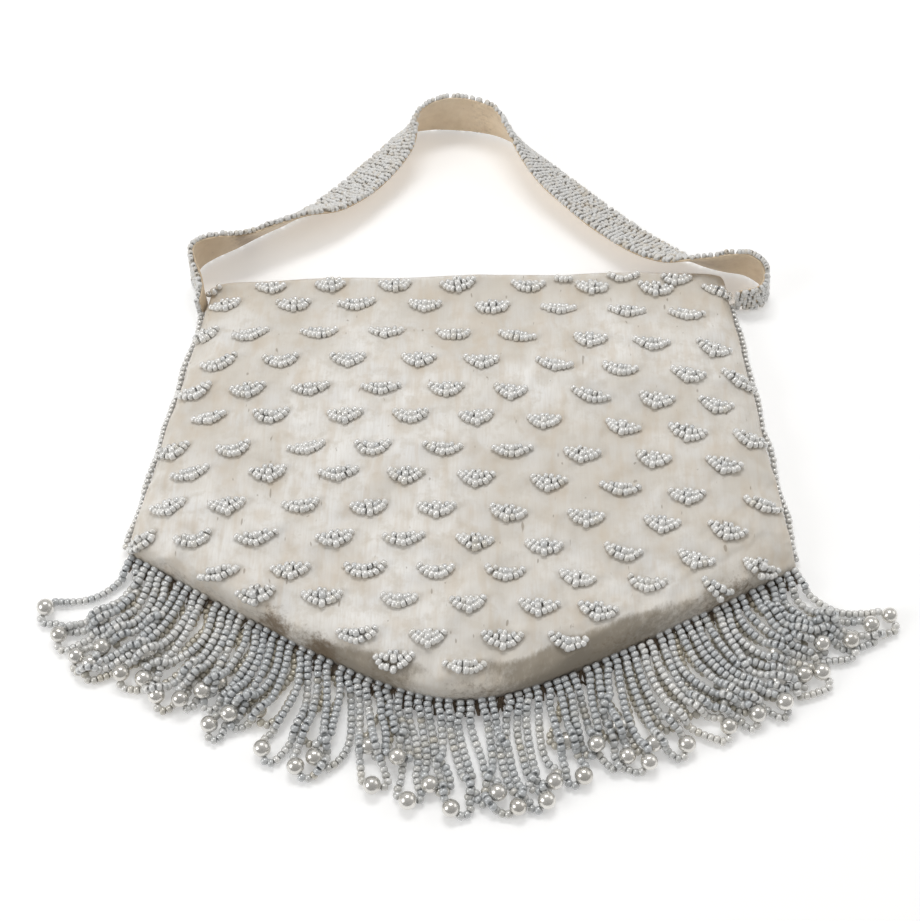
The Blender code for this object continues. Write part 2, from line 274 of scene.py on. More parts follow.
def frontHeight(across, down):
    place, fromMouth, fromSide, fromPoint = edgeDistances(across, down)
    rolled = rollOver(fromSide, pouch["sideRoll"]) * rollOver(fromPoint, pouch["pointRoll"])
    lift = pouch["mouthLift"] * (1 + pouch["mouthTilt"] * across)
    rise = lift + (pouch["puff"] - lift) * smoothStep(fromMouth / pouch["mouthSlope"])
    dome = 1 - pouch["puffFall"] * across ** 2
    held = smoothStep(np.minimum(fromSide, fromPoint) / pouch["pointRoll"])
    return pouch["seamHeight"] + rise * rolled * dome + held * foldHeight(place)


# shader groups and materials

class Builder:
    # places nodes in a tree and joins them by name
    def __init__(self, tree):
        self.tree = tree

    def add(self, kind, settings=None, **inputs):
        node = self.tree.nodes.new(kind)
        for name, value in (settings or {}).items():
            setattr(node, name, value)
        for name, value in inputs.items():
            socket = node.inputs[int(name[1:])] if name[1:].isdigit() else node.inputs[name.replace("_", " ")]
            if isinstance(value, bpy.types.NodeSocket):
                self.tree.links.new(value, socket)
            else:
                socket.default_value = value
        return node

    def math(self, operation, first, second=0.0):
        return self.add("ShaderNodeMath", {"operation": operation}, i0=first, i1=second).outputs[0]

    def times(self, first, second):
        return self.math("MULTIPLY", first, second)

    def plus(self, first, second):
        return self.math("ADD", first, second)

    def swing(self, noise, amount):
        # how far a noise lies from its middle, times an amount
        return self.times(self.math("SUBTRACT", noise, 0.5), amount)

    def send(self, node, **values):
        for name, value in values.items():
            self.tree.links.new(value, node.inputs[name])

    def mix(self, share, first, second):
        node = self.add("ShaderNodeMix", {"data_type": "RGBA"}, i0=share)
        for slot, value in ((6, first), (7, second)):
            if isinstance(value, bpy.types.NodeSocket):
                self.tree.links.new(value, node.inputs[slot])
            else:
                node.inputs[slot].default_value = (*value, 1.0) if len(value) == 3 else value
        return node.outputs[2]

    def ramp(self, value, low, high):
        return self.add("ShaderNodeMapRange", {"interpolation_type": "SMOOTHSTEP"},
                        i0=value, i1=low, i2=high).outputs[0]


plainGrey = (0.5, 0.5, 0.5, 1.0)


def newGroup(name, inputs):
    group = bpy.data.node_groups.new(name, "ShaderNodeTree")
    for label, value in inputs.items():
        kind = "NodeSocketFloat" if isinstance(value, float) else "NodeSocketColor"
        group.interface.new_socket(name=label, in_out="INPUT", socket_type=kind).default_value = value
    for label, kind in (("Color", "Color"), ("Roughness", "Float"), ("Height", "Float")):
        group.interface.new_socket(name=label, in_out="OUTPUT", socket_type="NodeSocket" + kind)
    build = Builder(group)
    return group, build, build.add("NodeGroupInput").outputs, build.add("NodeGroupOutput")


# what is laid over the cloth's light colour, in turn: noise that shows from low to high
clothLayers = {
    "clouds": dict(tint="Shade", share=0.75, low=0.36, high=0.68, scale=34.0, detail=3.0),
    "blotches": dict(tint="Cool", share=0.45, low=0.40, high=0.70, scale=95.0, detail=4.0),
    "patches": dict(tint="Shade", share=0.58, low=0.46, high=0.68, scale=240.0, detail=4.0, rough=0.62),
    "peach": dict(tint="Tan", share=0.42, low=0.48, high=0.72, scale=130.0, detail=3.0,
                  stretch=(1.0, 0.8, 1.0), shift=(0.4, 0.1, 0.3)),
    "streaks": dict(tint="Tan", share=0.36, low=0.50, high=0.70, scale=1.0, detail=3.0,
                    stretch=(330.0, 62.0, 300.0), shift=(0.3, 0.9, 0.1)),
    "grain": dict(tint="Shade", share=0.30, low=0.35, high=0.75, scale=1.0, detail=2.0,
                  stretch=(1700.0, 150.0, 900.0), shift=(0.0, 0.0, 0.0)),
    "slubs": dict(tint="Stain", share=0.50, low=0.735, high=0.80, scale=1.0, detail=1.0,
                  stretch=(700.0, 210.0, 500.0), shift=(3.1, 1.7, 0.4)),
    "specks": dict(tint="Stain", share=0.45, low=0.74, high=0.79, scale=430.0, detail=2.0,
                   stretch=(1.0, 0.8, 1.0), shift=(0.7, 0.2, 0.9)),
}
clothBump = (0.35, 0.00005)   # strength, and height in metres


def makeClothGroup():
    # cloudy old satin: cool and warm patches, fine grain down the cloth, dark slubs and stains, and darkening
    # by age and soil that also carries painted shade
    group, build, given, out = newGroup("oldSatin", {
        "Light": plainGrey, "Shade": plainGrey, "Cool": plainGrey, "Tan": plainGrey, "Stain": plainGrey,
        "DirtAndShadeTint": plainGrey, "Age": 0.0, "Wear": 0.0, "DirtAndShade": 0.0, "Slubs": 1.0})
    place = build.add("ShaderNodeTexCoord").outputs["Object"]

    def noise(scale, detail, rough=0.5, stretch=None, shift=None):
        spot = place
        if stretch:
            mapped = build.add("ShaderNodeMapping", None, Vector=place, Scale=stretch, Location=shift)
            spot = mapped.outputs[0]
        return build.add("ShaderNodeTexNoise", None, Vector=spot, Scale=scale, Detail=detail,
                         Roughness=rough).outputs[0]

    raw, raised, colour = {}, {}, given["Light"]
    for name, layer in clothLayers.items():
        raw[name] = noise(layer["scale"], layer["detail"], layer.get("rough", 0.5), layer.get("stretch"),
                          layer.get("shift"))
        raised[name] = build.ramp(raw[name], layer["low"], layer["high"])
        share = build.times(raised[name], layer["share"])
        if layer["tint"] == "Stain":
            share = build.times(share, given["Slubs"])
        colour = build.mix(share, colour, given[layer["tint"]])
        # the cloth's age, which on the front satin also carries painted shade along the seams and under the
        # motifs
        if name == "blotches":
            colour = build.mix(given["Age"], colour, given["Shade"])
    # soil laid over the cloth; along the front's point it also carries painted shade of the turn-down
    fibres = noise(1.0, 4.0, 0.75, (640.0, 300.0, 600.0), (0.2, 0.5, 0.8))
    dirtAndShade = build.plus(given["DirtAndShade"], build.swing(fibres, 1.3))
    dirtAndShade = build.times(build.ramp(dirtAndShade, 0.10, 1.0), build.ramp(given["DirtAndShade"], 0.02, 0.2))
    colour = build.mix(build.times(dirtAndShade, 0.85), colour, given["DirtAndShadeTint"])
    frayed = build.plus(given["Wear"], build.swing(noise(560.0, 4.0, 0.75), 1.5))
    worn = build.times(build.ramp(frayed, 0.30, 1.0), build.ramp(given["Wear"], 0.02, 0.25))
    colour = build.mix(build.times(worn, 0.9), colour, given["Stain"])
    rough = build.plus(build.times(raised["clouds"], 0.10), build.times(worn, 0.30))
    height = build.plus(raw["grain"], build.times(noise(1500.0, 3.0), 0.4))
    height = build.plus(height, build.times(worn, build.times(noise(2400.0, 3.0), 5.0)))
    build.send(out, Color=colour, Roughness=build.plus(rough, 0.46), Height=height)
    return group


def makeGlazeGroup():
    # glazed glass: each bead has its own tone, with faint cloudy tints in the glaze; its age warms it, and
    # past 0.9 it paints dark shadow on hidden beads
    group, build, given, out = newGroup("pearlGlaze", {
        "Pale": plainGrey, "Cool": plainGrey, "Warm": plainGrey, "GrimeAndShadow": (0.20, 0.155, 0.11, 1.0),
        "Tone": 0.5, "Age": 0.0, "Gloss": 0.2, "Scale": 900.0})
    place = build.add("ShaderNodeTexCoord").outputs["Object"]
    tints = build.add("ShaderNodeTexNoise", None, Vector=place, Scale=given["Scale"], Detail=3.0).outputs[0]
    broad = build.add("ShaderNodeTexNoise", None, Vector=place, Scale=60.0, Detail=2.0).outputs[0]
    share = build.plus(given["Tone"], build.swing(tints, 0.6))
    colour = build.mix(build.ramp(share, 0.1, 0.9), given["Pale"], given["Cool"])
    warm = build.plus(given["Age"], build.swing(broad, 0.6))
    colour = build.mix(build.ramp(warm, 0.15, 1.0), colour, given["Warm"])
    # painted shadow: beads aged past 0.9, the lower fringe strands hidden near the seam, turn dark brown
    colour = build.mix(build.ramp(given["Age"], 0.9, 1.7), colour, given["GrimeAndShadow"])
    rough = build.plus(given["Gloss"], build.times(tints, 0.12))
    build.send(out, Color=colour, Roughness=rough, Height=tints)
    return group


def makeMaterial(name, group, values, attributes, shader, bump=None):
    material = bpy.data.materials.new(name)
    material.use_nodes = True
    build = Builder(material.node_tree)
    principled = material.node_tree.nodes["Principled BSDF"]
    for socket, value in shader.items():
        principled.inputs[socket].default_value = value
    placed = build.add("ShaderNodeGroup", {"node_tree": group})
    for socket, value in values.items():
        placed.inputs[socket].default_value = (*value, 1.0) if isinstance(value, tuple) else value
    for socket, attribute in attributes.items():
        layer = build.add("ShaderNodeAttribute", {"attribute_name": attribute})
        material.node_tree.links.new(layer.outputs["Fac"], placed.inputs[socket])
    links = material.node_tree.links
    links.new(placed.outputs["Color"], principled.inputs["Base Color"])
    links.new(placed.outputs["Roughness"], principled.inputs["Roughness"])
    if bump:
        strength, distance = bump
        raised = build.add("ShaderNodeBump", None, Height=placed.outputs["Height"], Strength=strength,
                           Distance=distance)
        links.new(raised.outputs["Normal"], principled.inputs["Normal"])
    return material


clothGroup = makeClothGroup()
glazeGroup = makeGlazeGroup()

satinMaterial = makeMaterial(
    "creamSatin", clothGroup,
    {"Light": (0.91, 0.893, 0.862), "Shade": (0.65, 0.60, 0.525), "Cool": (0.77, 0.77, 0.77),
     "Tan": (0.63, 0.53, 0.41), "Stain": (0.19, 0.14, 0.09), "DirtAndShadeTint": (0.28, 0.24, 0.185)},
    {"Age": "ageAndShade", "Wear": "wear", "DirtAndShade": "dirtAndShade"},
    {"Specular IOR Level": 0.22, "Sheen Weight": 0.10, "Sheen Roughness": 0.4},
    clothBump)
liningMaterial = makeMaterial(
    "beigeLining", clothGroup,
    {"Light": (0.80, 0.66, 0.48), "Shade": (0.68, 0.54, 0.38), "Cool": (0.75, 0.64, 0.50),
     "Tan": (0.62, 0.48, 0.33), "Stain": (0.20, 0.13, 0.08), "DirtAndShadeTint": (0.28, 0.19, 0.11), "Slubs": 0.4},
    {"DirtAndShade": "dirtAndShade"},
    {"Specular IOR Level": 0.3, "Sheen Weight": 0.2},
    clothBump)
beadMaterial = makeMaterial(
    "glazedSeedBeads", glazeGroup,
    {"Pale": (0.84, 0.83, 0.805), "Cool": (0.53, 0.55, 0.565), "Warm": (0.60, 0.545, 0.43), "Gloss": 0.17},
    {"Tone": "tone", "Age": "ageAndShade"},
    {"Coat Weight": 0.9, "Coat Roughness": 0.07, "Specular IOR Level": 0.7, "Metallic": 0.20})
strapBeadMaterial = makeMaterial(
    "dullSeedBeads", glazeGroup,
    {"Pale": (0.76, 0.755, 0.74), "Cool": (0.63, 0.64, 0.65), "Warm": (0.64, 0.56, 0.44), "Gloss": 0.36},
    {"Tone": "tone", "Age": "ageAndShade"},
    {"Coat Weight": 0.2, "Coat Roughness": 0.2, "Specular IOR Level": 0.5})
pearlMaterial = makeMaterial(
    "greyPearls", glazeGroup,
    {"Pale": (0.78, 0.76, 0.72), "Cool": (0.63, 0.62, 0.60), "Warm": (0.70, 0.64, 0.53), "Gloss": 0.17,
     "Scale": 420.0},
    {"Tone": "tone", "Age": "ageAndShade"},
    {"Coat Weight": 0.7, "Coat Roughness": 0.08, "Metallic": 0.85})
# dark brown thread, dark enough to stand in for the shadow between the fringe's strand tops
threadAndShadowMaterial = makeMaterial(
    "brownThreadAndShadow", clothGroup,
    {"Light": (0.24, 0.18, 0.13), "Shade": (0.13, 0.095, 0.065), "Cool": (0.22, 0.20, 0.17),
     "Tan": (0.18, 0.13, 0.09), "Stain": (0.08, 0.055, 0.035), "Slubs": 0.0},
    {},
    {"Specular IOR Level": 0.2})
print("materials are ready")


# camera and light

view = {
    "place": (0.0043, -0.2326, 0.377),
    "ahead": (-0.0133, 0.5073, -0.8616),
    "lens": 58.7,
    "sensor": 36.0,
}


def placeAimed(name, data, place, way):
    item = bpy.data.objects.new(name, data)
    bpy.context.collection.objects.link(item)
    item.location = place
    item.rotation_mode = "QUATERNION"
    item.rotation_quaternion = Vector(way).to_track_quat("-Z", "Y")
    return item


def makeCamera():
    data = bpy.data.cameras.new("studioCamera")
    data.lens = view["lens"]
    data.sensor_width = view["sensor"]
    bpy.context.scene.camera = placeAimed("studioCamera", data, view["place"], view["ahead"])


studio = {
    "overhead": dict(place=(-0.06, 0.42, 0.88), aim=(0, -0.02, 0), size=(0.50, 0.22), power=3.0),
    "leftFill": dict(place=(-0.80, -0.30, 0.50), aim=(0, 0, 0), size=(0.5, 0.5), power=2.4),
    "rightFill": dict(place=(0.85, 0.25, 0.55), aim=(0, 0, 0), size=(0.6, 0.6), power=1.0),
    "frontSky": 0.32,
    "backSky": 0.62,
    "floor": {"Base Color": (0.93, 0.93, 0.93, 1.0), "Roughness": 0.9, "Emission Color": (1.0, 1.0, 1.0, 1.0),
              "Emission Strength": 0.23},
}


def makeStudio():
    for name in ("overhead", "leftFill", "rightFill"):
        lamp = studio[name]
        data = bpy.data.lights.new(name, "AREA")
        data.shape = "RECTANGLE"
        data.size, data.size_y = lamp["size"]
        data.energy = lamp["power"]
        placeAimed(name, data, lamp["place"], Vector(lamp["aim"]) - Vector(lamp["place"]))
    world = bpy.data.worlds.new("studioSky")
    world.use_nodes = True
    sky = world.node_tree.nodes["Background"]
    sky.inputs["Color"].default_value = (1.0, 0.99, 0.97, 1.0)
    build = Builder(world.node_tree)
    way = build.add("ShaderNodeTexCoord").outputs["Generated"]
    back = build.add("ShaderNodeSeparateXYZ", None, Vector=way).outputs["Y"]
    strength = build.add("ShaderNodeMapRange", None, i0=back, i1=-1.0, i2=1.0, i3=studio["frontSky"],
                         i4=studio["backSky"]).outputs[0]
    build.send(sky, Strength=strength)
    bpy.context.scene.world = world
    floor = addPrimitive("grid", (0, 0, -0.0002), x_subdivisions=4, y_subdivisions=4, size=6.0)
    floor.name = "paleFloor"
    material = bpy.data.materials.new("palePaper")
    material.use_nodes = True
    shader = material.node_tree.nodes["Principled BSDF"]
    for name, value in studio["floor"].items():
        shader.inputs[name].default_value = value
    floor.data.materials.append(material)


makeCamera()
makeStudio()
bpy.context.scene.view_settings.view_transform = "Standard"
print("camera and studio are ready")


# satin

satin = {
    "columns": 120,
    "rows": 94,
    "columnCrowding": 0.45,
    "rowCrowding": 0.40,
    "thickness": 1.1,
    "slack": 0.014,
    "furthest": 0.9,
    "steps": 16,
    "flatArea": 0.0228,
    "rim": 0.4,
    "dimple": 0.28,
    "dimpleReach": 4.2,
    "hemRise": 0.25,
    "hemDrop": 0.7,
    "sewn": 0.35,             # how firmly a motif's middle is held
}
clothSettings = {
    "quality": 5,
    "mass": 0.12,
    "tension_stiffness": 12,
    "compression_stiffness": 12,
    "shear_stiffness": 4,
    "bending_stiffness": 0.02,
    "shrink_min": -satin["slack"],
    "vertex_group_mass": "sewn",
    "use_pressure": True,
    "uniform_pressure_force": 0.4,
}


def crowded(even, crowding):
    # closer together towards both ends, where the panels roll over
    return (1 - crowding) * even + crowding * np.sin(even * math.pi / 2)


def makeSheet(name, columns, rows):
    sheet = addPrimitive("grid", x_subdivisions=columns, y_subdivisions=rows, size=1)
    sheet.name = sheet.data.name = name
    points = readPoints(sheet)
    across = crowded(2 * points[:, 0], satin["columnCrowding"])
    return sheet, across, crowded(0.5 - points[:, 1], satin["rowCrowding"])


def letClothSettle(sheet, pins):
    # the satin is cut a little large, so it buckles softly between its seams
    before = readPoints(sheet)
    group = sheet.vertex_groups.new(name="sewn")
    for weight in np.unique(pins):
        if weight > 0:
            group.add([int(i) for i in np.nonzero(pins == weight)[0]], float(weight), "REPLACE")
    cloth = sheet.modifiers.new("cloth", "CLOTH")
    for name, value in clothSettings.items():
        setattr(cloth.settings, name, value)
    cloth.settings.effector_weights.gravity = 0.0
    cloth.collision_settings.use_collision = False
    cloth.point_cache.frame_start = 1
    cloth.point_cache.frame_end = satin["steps"]
    scene = bpy.context.scene
    for number in range(1, satin["steps"] + 1):
        scene.frame_set(number)
    applyModifiers(sheet)
    scene.frame_set(1)
    moved = readPoints(sheet) - before
    furthest = satin["furthest"] * millimetre
    far = np.linalg.norm(moved, axis=1, keepdims=True)
    writePoints(sheet, before + moved * np.minimum(1.0, furthest / np.maximum(far, 1e-12)))
    sheet.vertex_groups.clear()
    print("cloth moved at most", round(float(far.max()) / millimetre, 2), "mm")


motifRows = table(
    "below sag lean places",
    (5.9, 0.0, 0.0, (9, 28, 46, 62)),
    (10.0, 2.0, 1.3, (-76, -59, -41, -22, -3, 18, 37, 56, 75)),
    (17.9, 2.0, 0.0, (-72, -52, -33, -13, 7.5, 27, 47.5, 65)),
    (28.2, 3.6, -0.6, (-77.5, -63.5, -43.5, -24, -4, 14.5, 36, 54, 72)),
    (37.8, 4.2, -0.7, (-71.5, -54, -34.5, -14, 4.5, 25.5, 44.5, 64, 78.5)),
    (47.9, 3.6, -0.7, (-77.5, -62.5, -44.5, -24.5, -5.5, 13, 35.5, 54.5, 71.5)),
    (57.2, 4.0, -1.4, (-72.5, -55, -34, -15.5, 3.5, 22.5, 44.5, 63, 80.5)),
    (67.8, 3.4, -0.6, (-81.5, -64.5, -44, -25.5, -6, 13.5, 33, 53, 72.5)),
    (77.0, 3.6, -2.6, (-75.5, -54, -34.5, -16, 3.5, 23.5, 43.5, 62, 82.5)),
    (87.2, 3.4, -2.2, (-80.5, -64.5, -44, -25.5, -7, 12.5, 34, 54.5, 72)),
    (97.0, 3.6, -2.0, (-86.5, -72.5, -55.5, -34, -15.5, 3.5, 22.5, 43.5, 63, 80.5)),
    (106.2, 4.2, -0.9, (-64.5, -45.5, -25.5, -6.5, 12, 31, 50, 69)),
    (115.3, 1.5, -2.4, (-54, -36.5, -16, 2.5, 21, 36.5)),
    (125.4, 1.0, -0.6, (-26.5, -8, 11.5, 28.5)),
    (133.2, 0.0, -5.5, (-16.5, 2)))
motifSightHeight = 14.1
motifSideReach = 80.0


def motifPlaces():
    # where each motif is seen, in a level plane at the height of the puff
    places = []
    for row in motifRows:
        for x in row["places"]:
            share = x / motifSideReach
            places.append((x, -(row["below"] + row["sag"] * share ** 2 - row["lean"] * share)))
    return np.array(places)


def castSight(tree, places):
    # the spots that these places hide from the camera
    eye = Vector(view["place"])
    spots = []
    for aim in toFrame(np.column_stack([places, np.full(len(places), motifSightHeight)])):
        spot, normal, _, _ = tree.ray_cast(eye, Vector(aim - np.array(view["place"])).normalized())
        if spot is not None and normal.z > 0:
            spots.append(spot[:2])
    return np.array(spots) / millimetre - mouthMiddle[:2]


def treeOf(item):
    points = readPoints(item)
    faces = [tuple(face.vertices) for face in item.data.polygons]
    return BVHTree.FromPolygons([Vector(point) for point in points], faces)


def smoothRows(rows, steps):
    # a smooth curve through the rows, with some steps between each and the next
    padded = np.concatenate([[2 * rows[0] - rows[1]], rows, [2 * rows[-1] - rows[-2]]])
    result = []
    for i in range(1, len(padded) - 2):
        before, start, end, after = padded[i - 1:i + 3]
        for step in range(steps):
            t = step / steps
            leaving = (t ** 3 - 2 * t ** 2 + t) * (end - before) / 2
            arriving = (t ** 3 - t ** 2) * (after - start) / 2
            result.append((2 * t ** 3 - 3 * t ** 2 + 1) * start + leaving + (3 * t ** 2 - 2 * t ** 3) * end
                          + arriving)
    result.append(padded[-2])
    return np.array(result)


def softBumps(place, spots, reach):
    # how close each point is to the nearest spots, 1 on them and fading out over reach
    total = np.zeros(len(place))
    for x, y in spots:
        total = np.maximum(total, np.exp(-((place[:, 0] - x) ** 2 + (place[:, 1] - y) ** 2) / reach ** 2))
    return total


# small gathers pulled out of the seams, whose waves run along the seam and sway from even
gathers = table(
    "seam middle reach height waves sway swayWaves phase",
    ("point", 4.5, 4.0, 0.20, 96, 1.5, 21, 0.0),
    ("point", 8.0, 7.0, 0.38, 34, 2.1, 9, 1.0),
    ("side", 5.0, 5.0, 0.22, 0.62, 1.3, 0.17, 0.0),
    ("mouth", 0.0, 7.0, 0.45, 11, 1.2, 0, math.pi / 2))


def makeFront():
    sheet, across, down = makeSheet("satinFront", satin["columns"], satin["rows"])
    place = panelPoint(across, down)
    writePoints(sheet, toFrame(np.column_stack([place, frontHeight(across, down)])))
    spots = castSight(treeOf(sheet), motifPlaces())
    _, fromMouth, fromSide, fromPoint = edgeDistances(across, down)
    rim = np.minimum(np.minimum(fromSide, fromPoint), fromMouth) < satin["rim"]
    sewn = softBumps(place, spots, 3.0) > 0.75
    letClothSettle(sheet, np.where(rim, 1.0, np.where(sewn, satin["sewn"], 0.0)))
    writeAttribute(sheet, "acrossShare", across)
    writeAttribute(sheet, "downShare", down)
    finer = sheet.modifiers.new("finer", "SUBSURF")
    finer.levels = finer.render_levels = 1
    applyModifiers(sheet)
    across, down = takeAttribute(sheet, "acrossShare"), takeAttribute(sheet, "downShare")
    place, fromMouth, fromSide, fromPoint = edgeDistances(np.clip(across, -1, 1), np.clip(down, 0, 1))
    points = readPoints(sheet)
    lift = -satin["dimple"] * softBumps(place, spots, satin["dimpleReach"])
    waves = {"point": (across, fromPoint), "side": (fromMouth, fromSide), "mouth": (across, fromMouth)}
    corner = {"point": 1.0, "side": smoothStep(fromPoint / 15), "mouth": smoothStep(fromSide / 15)}
    for fold in gathers:
        run, distance = waves[fold["seam"]]
        wave = np.sin(run * fold["waves"] + fold["sway"] * np.sin(run * fold["swayWaves"] + fold["phase"]))
        lift += fold["height"] * hump(distance, fold["middle"], fold["reach"]) * corner[fold["seam"]] * wave
    # the mouth's folded hem
    lift += satin["hemRise"] * hump(fromMouth, 2.2, 1.6) - satin["hemDrop"] * hump(fromMouth, 0, 0.9)
    points[:, 2] += lift * millimetre
    writePoints(sheet, points)
    # painted shade: darker where the satin rolls down to the side seams and the point, and a painted contact
    # shadow just under each motif; also darker in a band below the mouth, with a pale hem
    low = softBumps(place, spots + np.array([0.0, -1.2]), 5.0)
    ageAndShade = 0.50 * hump(fromMouth, 5, 11) + 0.45 * low - 0.7 * hump(fromMouth, 0, 1.2)
    ageAndShade += 0.5 * hump(fromSide, 0, 5) + 0.4 * hump(fromPoint, 0, 5)
    writeAttribute(sheet, "ageAndShade", np.clip(ageAndShade, 0, 1))
    writeAttribute(sheet, "wear", seamWear(place, fromPoint))
    writeAttribute(sheet, "dirtAndShade", seamDirtAndShade(place, fromPoint, fromSide))
    thicken(sheet, satin["thickness"])
    takeUp(sheet)
    bpy.ops.object.shade_smooth()
    finishPiece(sheet, satinMaterial, "satin", "front_panel")
    return sheet, spots


wornSpots = table(
    "across reach depth strength",
    (-0.53, 0.07, 5.0, 0.95), (-0.39, 0.07, 4.5, 1.0), (-0.20, 0.10, 4.0, 0.5), (0.05, 0.14, 4.5, 0.55),
    (0.45, 0.12, 4.5, 0.5), (0.78, 0.14, 6.0, 0.7), (-0.85, 0.08, 3.0, 0.4))


def seamWear(place, fromPoint):
    share = place[:, 0] / (pouch["cornerWidth"] / 2)
    total = 0.25 * hump(fromPoint, 0, 2.0)
    for spot in wornSpots:
        along = hump(share, spot["across"], spot["reach"])
        total = np.maximum(total, spot["strength"] * along * hump(fromPoint, 0, spot["depth"]))
    return total


dirtAndShadeBand = {
    "depth": 5.4,
    "fade": 3.2,
    "rim": 2.2,
    "atRim": 0.45,
    "side": 2.5,
    "atSide": 0.35,
    "bare": 1.4,
}


def seamDirtAndShade(place, fromPoint, fromSide):
    # the dark turn-down along the point: brown soil and painted shade where the satin rolls away from the
    # light, darker still at the seam and the sides, with a bare yellowish patch near its tip
    share = place[:, 0] / (pouch["cornerWidth"] / 2)
    along = smoothStep((share + 0.60) / 0.30) * smoothStep((0.90 - share) / 0.50)
    deep = dirtAndShadeBand["depth"] + 1.8 * np.sin(share * 5.2 + 0.9)
    deep += 1.1 * np.sin(share * 17 + 2 * np.sin(share * 7))
    total = along * smoothStep((deep - fromPoint) / dirtAndShadeBand["fade"] + 0.5)
    rim = dirtAndShadeBand["atRim"] * smoothStep((dirtAndShadeBand["rim"] - fromPoint) / dirtAndShadeBand["rim"])
    side = dirtAndShadeBand["atSide"] * smoothStep((dirtAndShadeBand["side"] - fromSide) / dirtAndShadeBand["side"])
    bare = hump(share, -0.01, 0.12) * hump(fromPoint, 1.0, 5.0)
    return np.clip(np.maximum(np.maximum(total, rim), side) - dirtAndShadeBand["bare"] * bare, 0, 1)


backPanel = {
    "columns": 72,
    "rows": 56,
    "height": 1.5,
    "thickness": 1.3,
    "edge": 0.3,
    "wave": 0.14,
    "ageAndShade": 0.35,
}


def makeBack():
    sheet, across, down = makeSheet("satinBack", backPanel["columns"], backPanel["rows"])
    place = panelPoint(across, down)
    _, fromMouth, fromSide, fromPoint = edgeDistances(across, down)
    inner = smoothStep(np.minimum(np.minimum(fromSide, fromPoint), fromMouth) / 10)
    wave = backPanel["wave"] * inner * np.sin(place[:, 0] * 0.11 + 1.0) * np.cos(place[:, 1] * 0.09)
    writePoints(sheet, toFrame(np.column_stack([place, backPanel["height"] + wave])))
    thicken(sheet, backPanel["thickness"], edge=backPanel["edge"])
    takeUp(sheet)
    bpy.ops.object.shade_smooth_by_angle(angle=math.radians(40))
    count = len(sheet.data.vertices)
    writeAttribute(sheet, "ageAndShade", np.full(count, backPanel["ageAndShade"]))
    writeAttribute(sheet, "wear", np.zeros(count))
    # the back panel is darker towards the floor
    writeAttribute(sheet, "dirtAndShade", 0.5 * np.exp(-(np.abs(readPoints(sheet)[:, 2]) / millimetre) / 3))
    return finishPiece(sheet, satinMaterial, "satin", "back_panel")


frontSheet, motifSpots = makeFront()
backSheet = makeBack()
print("satin is sewn,", len(motifSpots), "motif places,", len(frontSheet.data.polygons), "faces")


# seed beads: one bead is modelled, and each string is a joined mesh of its copies

def modelBead(sides):
    # a small ring with rounded shoulders, drawn out along its hole
    bead = addPrimitive("torus", major_segments=sides, minor_segments=6, major_radius=1.0, minor_radius=0.25)
    points, faces = takeShape(bead)
    reach = np.hypot(points[:, 0], points[:, 1])
    step = np.rint(np.degrees(np.arctan2(points[:, 2], reach - 1.0)) / 60).astype(int) % 6
    # waist, shoulder, rim, hole, rim and shoulder, as distance from the middle and height
    section = np.array([(1.05, 0.0), (0.93, 0.53), (0.60, 0.745), (0.20, 0.0), (0.60, -0.745), (0.93, -0.53)])
    points[:, :2] *= (section[step, 0] / reach)[:, None]
    points[:, 2] = section[step, 1]
    return points, faces


def modelPearl():
    # a little flatter along its hole
    ball = addPrimitive("uv_sphere", segments=28, ring_count=18, radius=1.0)
    inEditMode(ball, bpy.ops.mesh.quads_convert_to_tris,
               lambda: bpy.ops.transform.resize(value=(1.0, 1.0, 0.97)))
    return takeShape(ball)


def modelStitch():
    thread = addPrimitive("cylinder", vertices=5, radius=1.0, depth=2.0)
    inEditMode(thread, bpy.ops.mesh.quads_convert_to_tris)
    return takeShape(thread)


beadShape = modelBead(8)
smallBeadShape = modelBead(6)
pearlShape = modelPearl()
stitchShape = modelStitch()


def standing(axes, spins):
    # three unit directions for each bead, the third along its hole
    axes = axes / np.linalg.norm(axes, axis=1, keepdims=True)
    helper = np.where(np.abs(axes[:, 2:3]) > 0.9, np.array([[1.0, 0, 0]]), np.array([[0, 0, 1.0]]))
    first = np.cross(helper, axes)
    first /= np.linalg.norm(first, axis=1, keepdims=True)
    second = np.cross(axes, first)
    turn, lean = np.cos(spins)[:, None], np.sin(spins)[:, None]
    return first * turn + second * lean, second * turn - first * lean, axes


def joinCopies(name, shape, places, axes, sizes, tones, agesAndShade, seed):
    # places and sizes in millimetres from the mouth's middle
    points, faces = shape
    places = np.asarray(places, float)
    count = len(places)
    dice = np.random.default_rng(seed)
    first, second, third = standing(np.asarray(axes, float), dice.uniform(0, 2 * math.pi, count))
    sizes = np.asarray(sizes, float).reshape(count, -1) * np.ones(3)
    scaled = points[None] * sizes[:, None, :]
    built = (scaled[..., 0:1] * first[:, None] + scaled[..., 1:2] * second[:, None]
             + scaled[..., 2:3] * third[:, None] + places[:, None])
    mesh = bpy.data.meshes.new(name)
    corners = faces[None] + (np.arange(count) * len(points))[:, None, None]
    mesh.from_pydata(toFrame(built.reshape(-1, 3)), [], corners.reshape(-1, faces.shape[1]).tolist())
    mesh.validate()
    item = bpy.data.objects.new(name, mesh)
    bpy.context.collection.objects.link(item)
    mesh.shade_smooth()
    writeAttribute(item, "tone", np.repeat(tones, len(points)))
    writeAttribute(item, "ageAndShade", np.repeat(agesAndShade, len(points)))
    return item


# embroidered motifs

motif = {
    "lift": 0.80,
    "pile": 0.22,             # how much higher the inner beads lie
    "outerBeads": 9,
    "turnPerMillimetre": -0.0030,
    "steepest": 0.42,
    "furthestDrop": 3.0,
    "mouthMargin": 1.9,
    "grow": 1.05,
    "wide": 1.15,             # a bead over this size lies level across the motif
    "above": 40.0,
}
